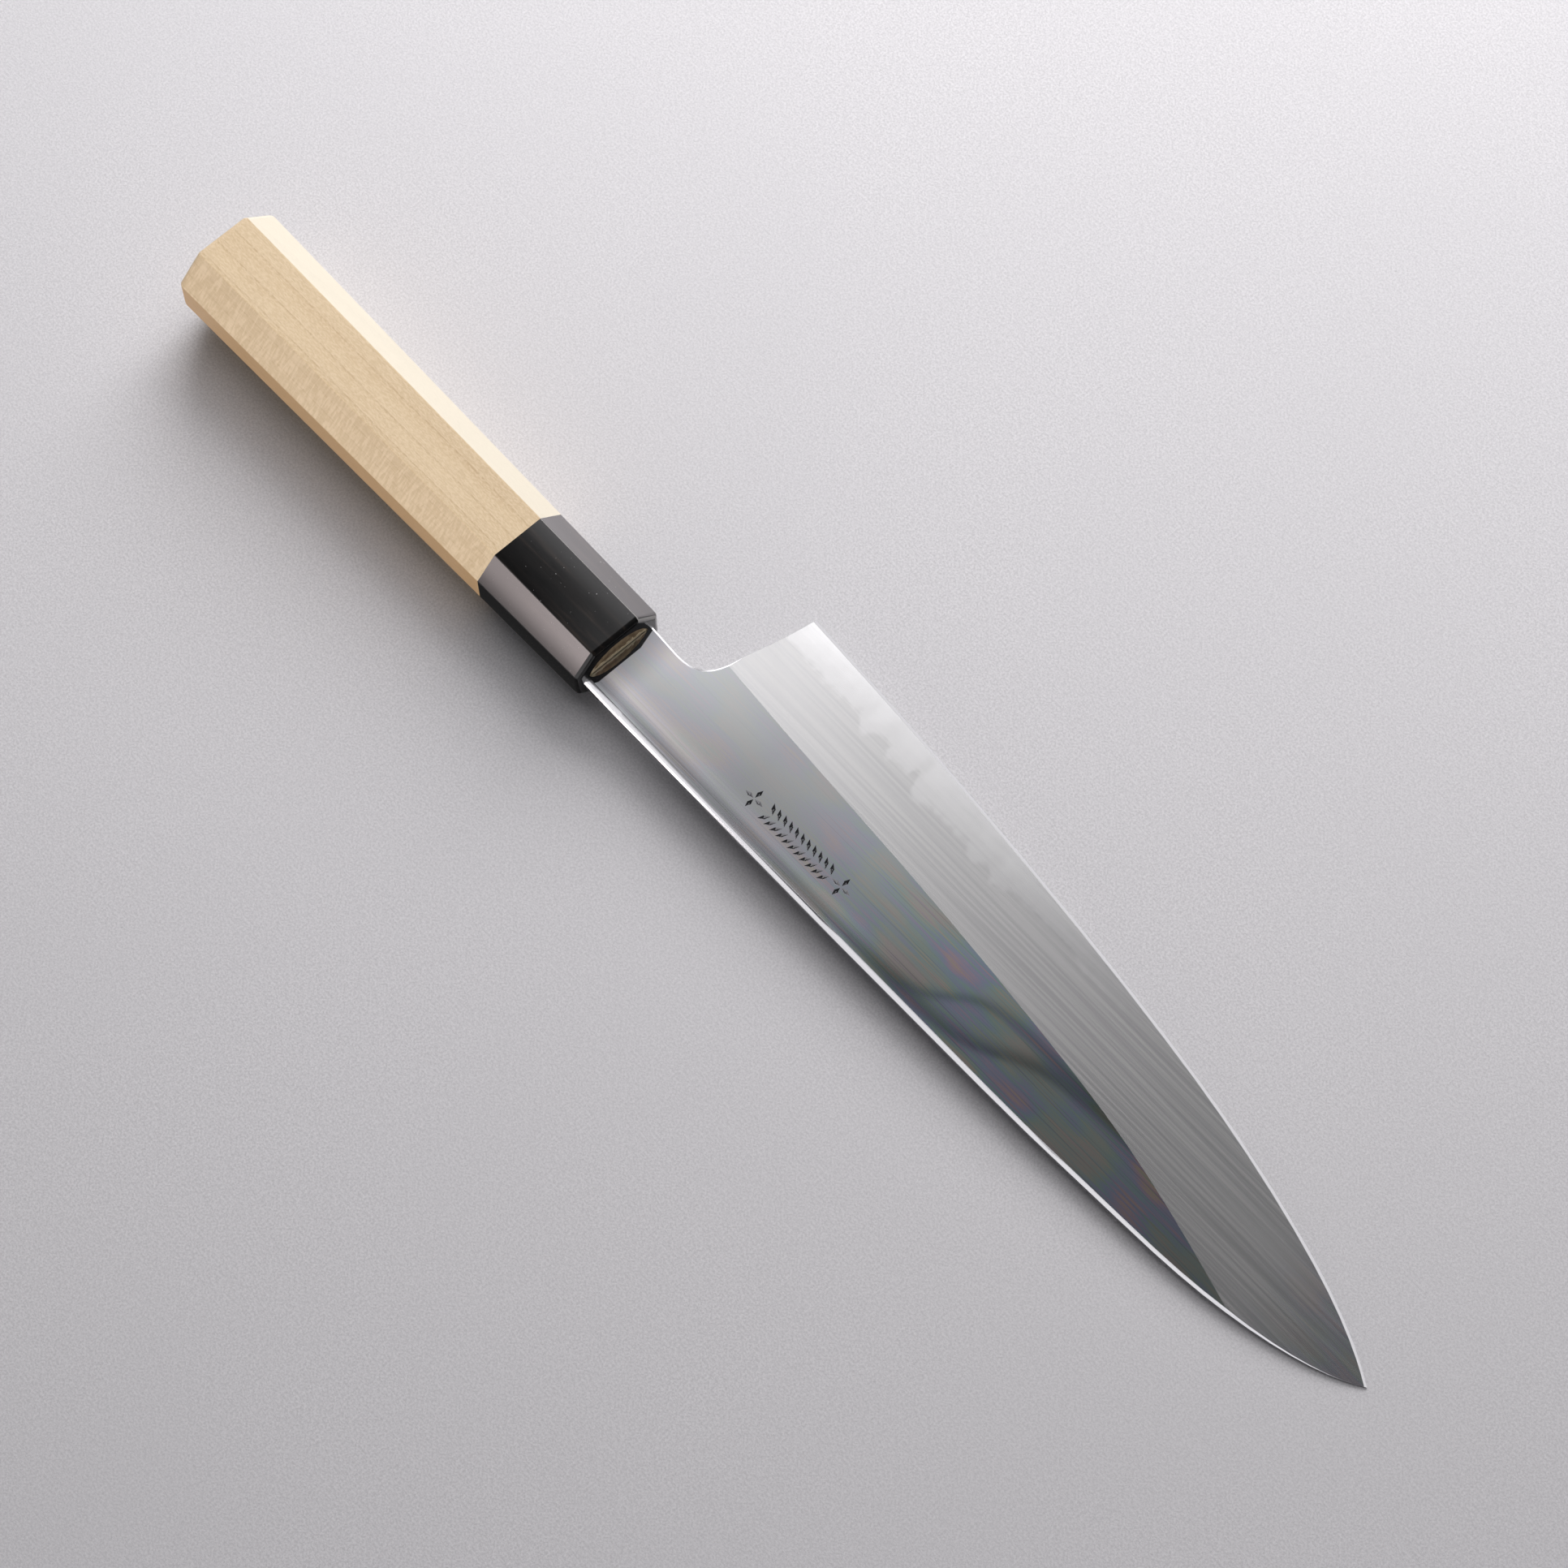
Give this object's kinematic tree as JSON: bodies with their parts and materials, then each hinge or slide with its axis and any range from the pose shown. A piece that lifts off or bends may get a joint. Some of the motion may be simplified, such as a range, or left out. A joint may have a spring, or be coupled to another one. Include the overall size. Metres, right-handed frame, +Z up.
{
  "type": "chef knife",
  "caption": "Chef knife with a ridge-ground polished blade, a black horn ferrule and an octagonal pale wood handle, lying on its side.",
  "frame": {"origin": "under the middle of the bounding box, on the surface that the knife lies on", "axes": "+X from the butt to the tip, +Y towards the cutting edge, +Z up out of the blade's left side; the knife lies on its right side, 2.2 degrees tip down"},
  "size_m": [0.3708, 0.0518, 0.025],
  "materials": {
    "blade_steel": "flats polished like a mirror, wide bevels satin along their length",
    "horn": "black buffalo horn, polished",
    "handle_wood": "fine sanded, bare",
    "seal": "pale amber wax"
  },
  "bodies": {
    "root": {"blade": "blade_steel", "ferrule": "horn", "handle": "handle_wood", "tang_seal": "seal"}
  },
  "joints": []
}
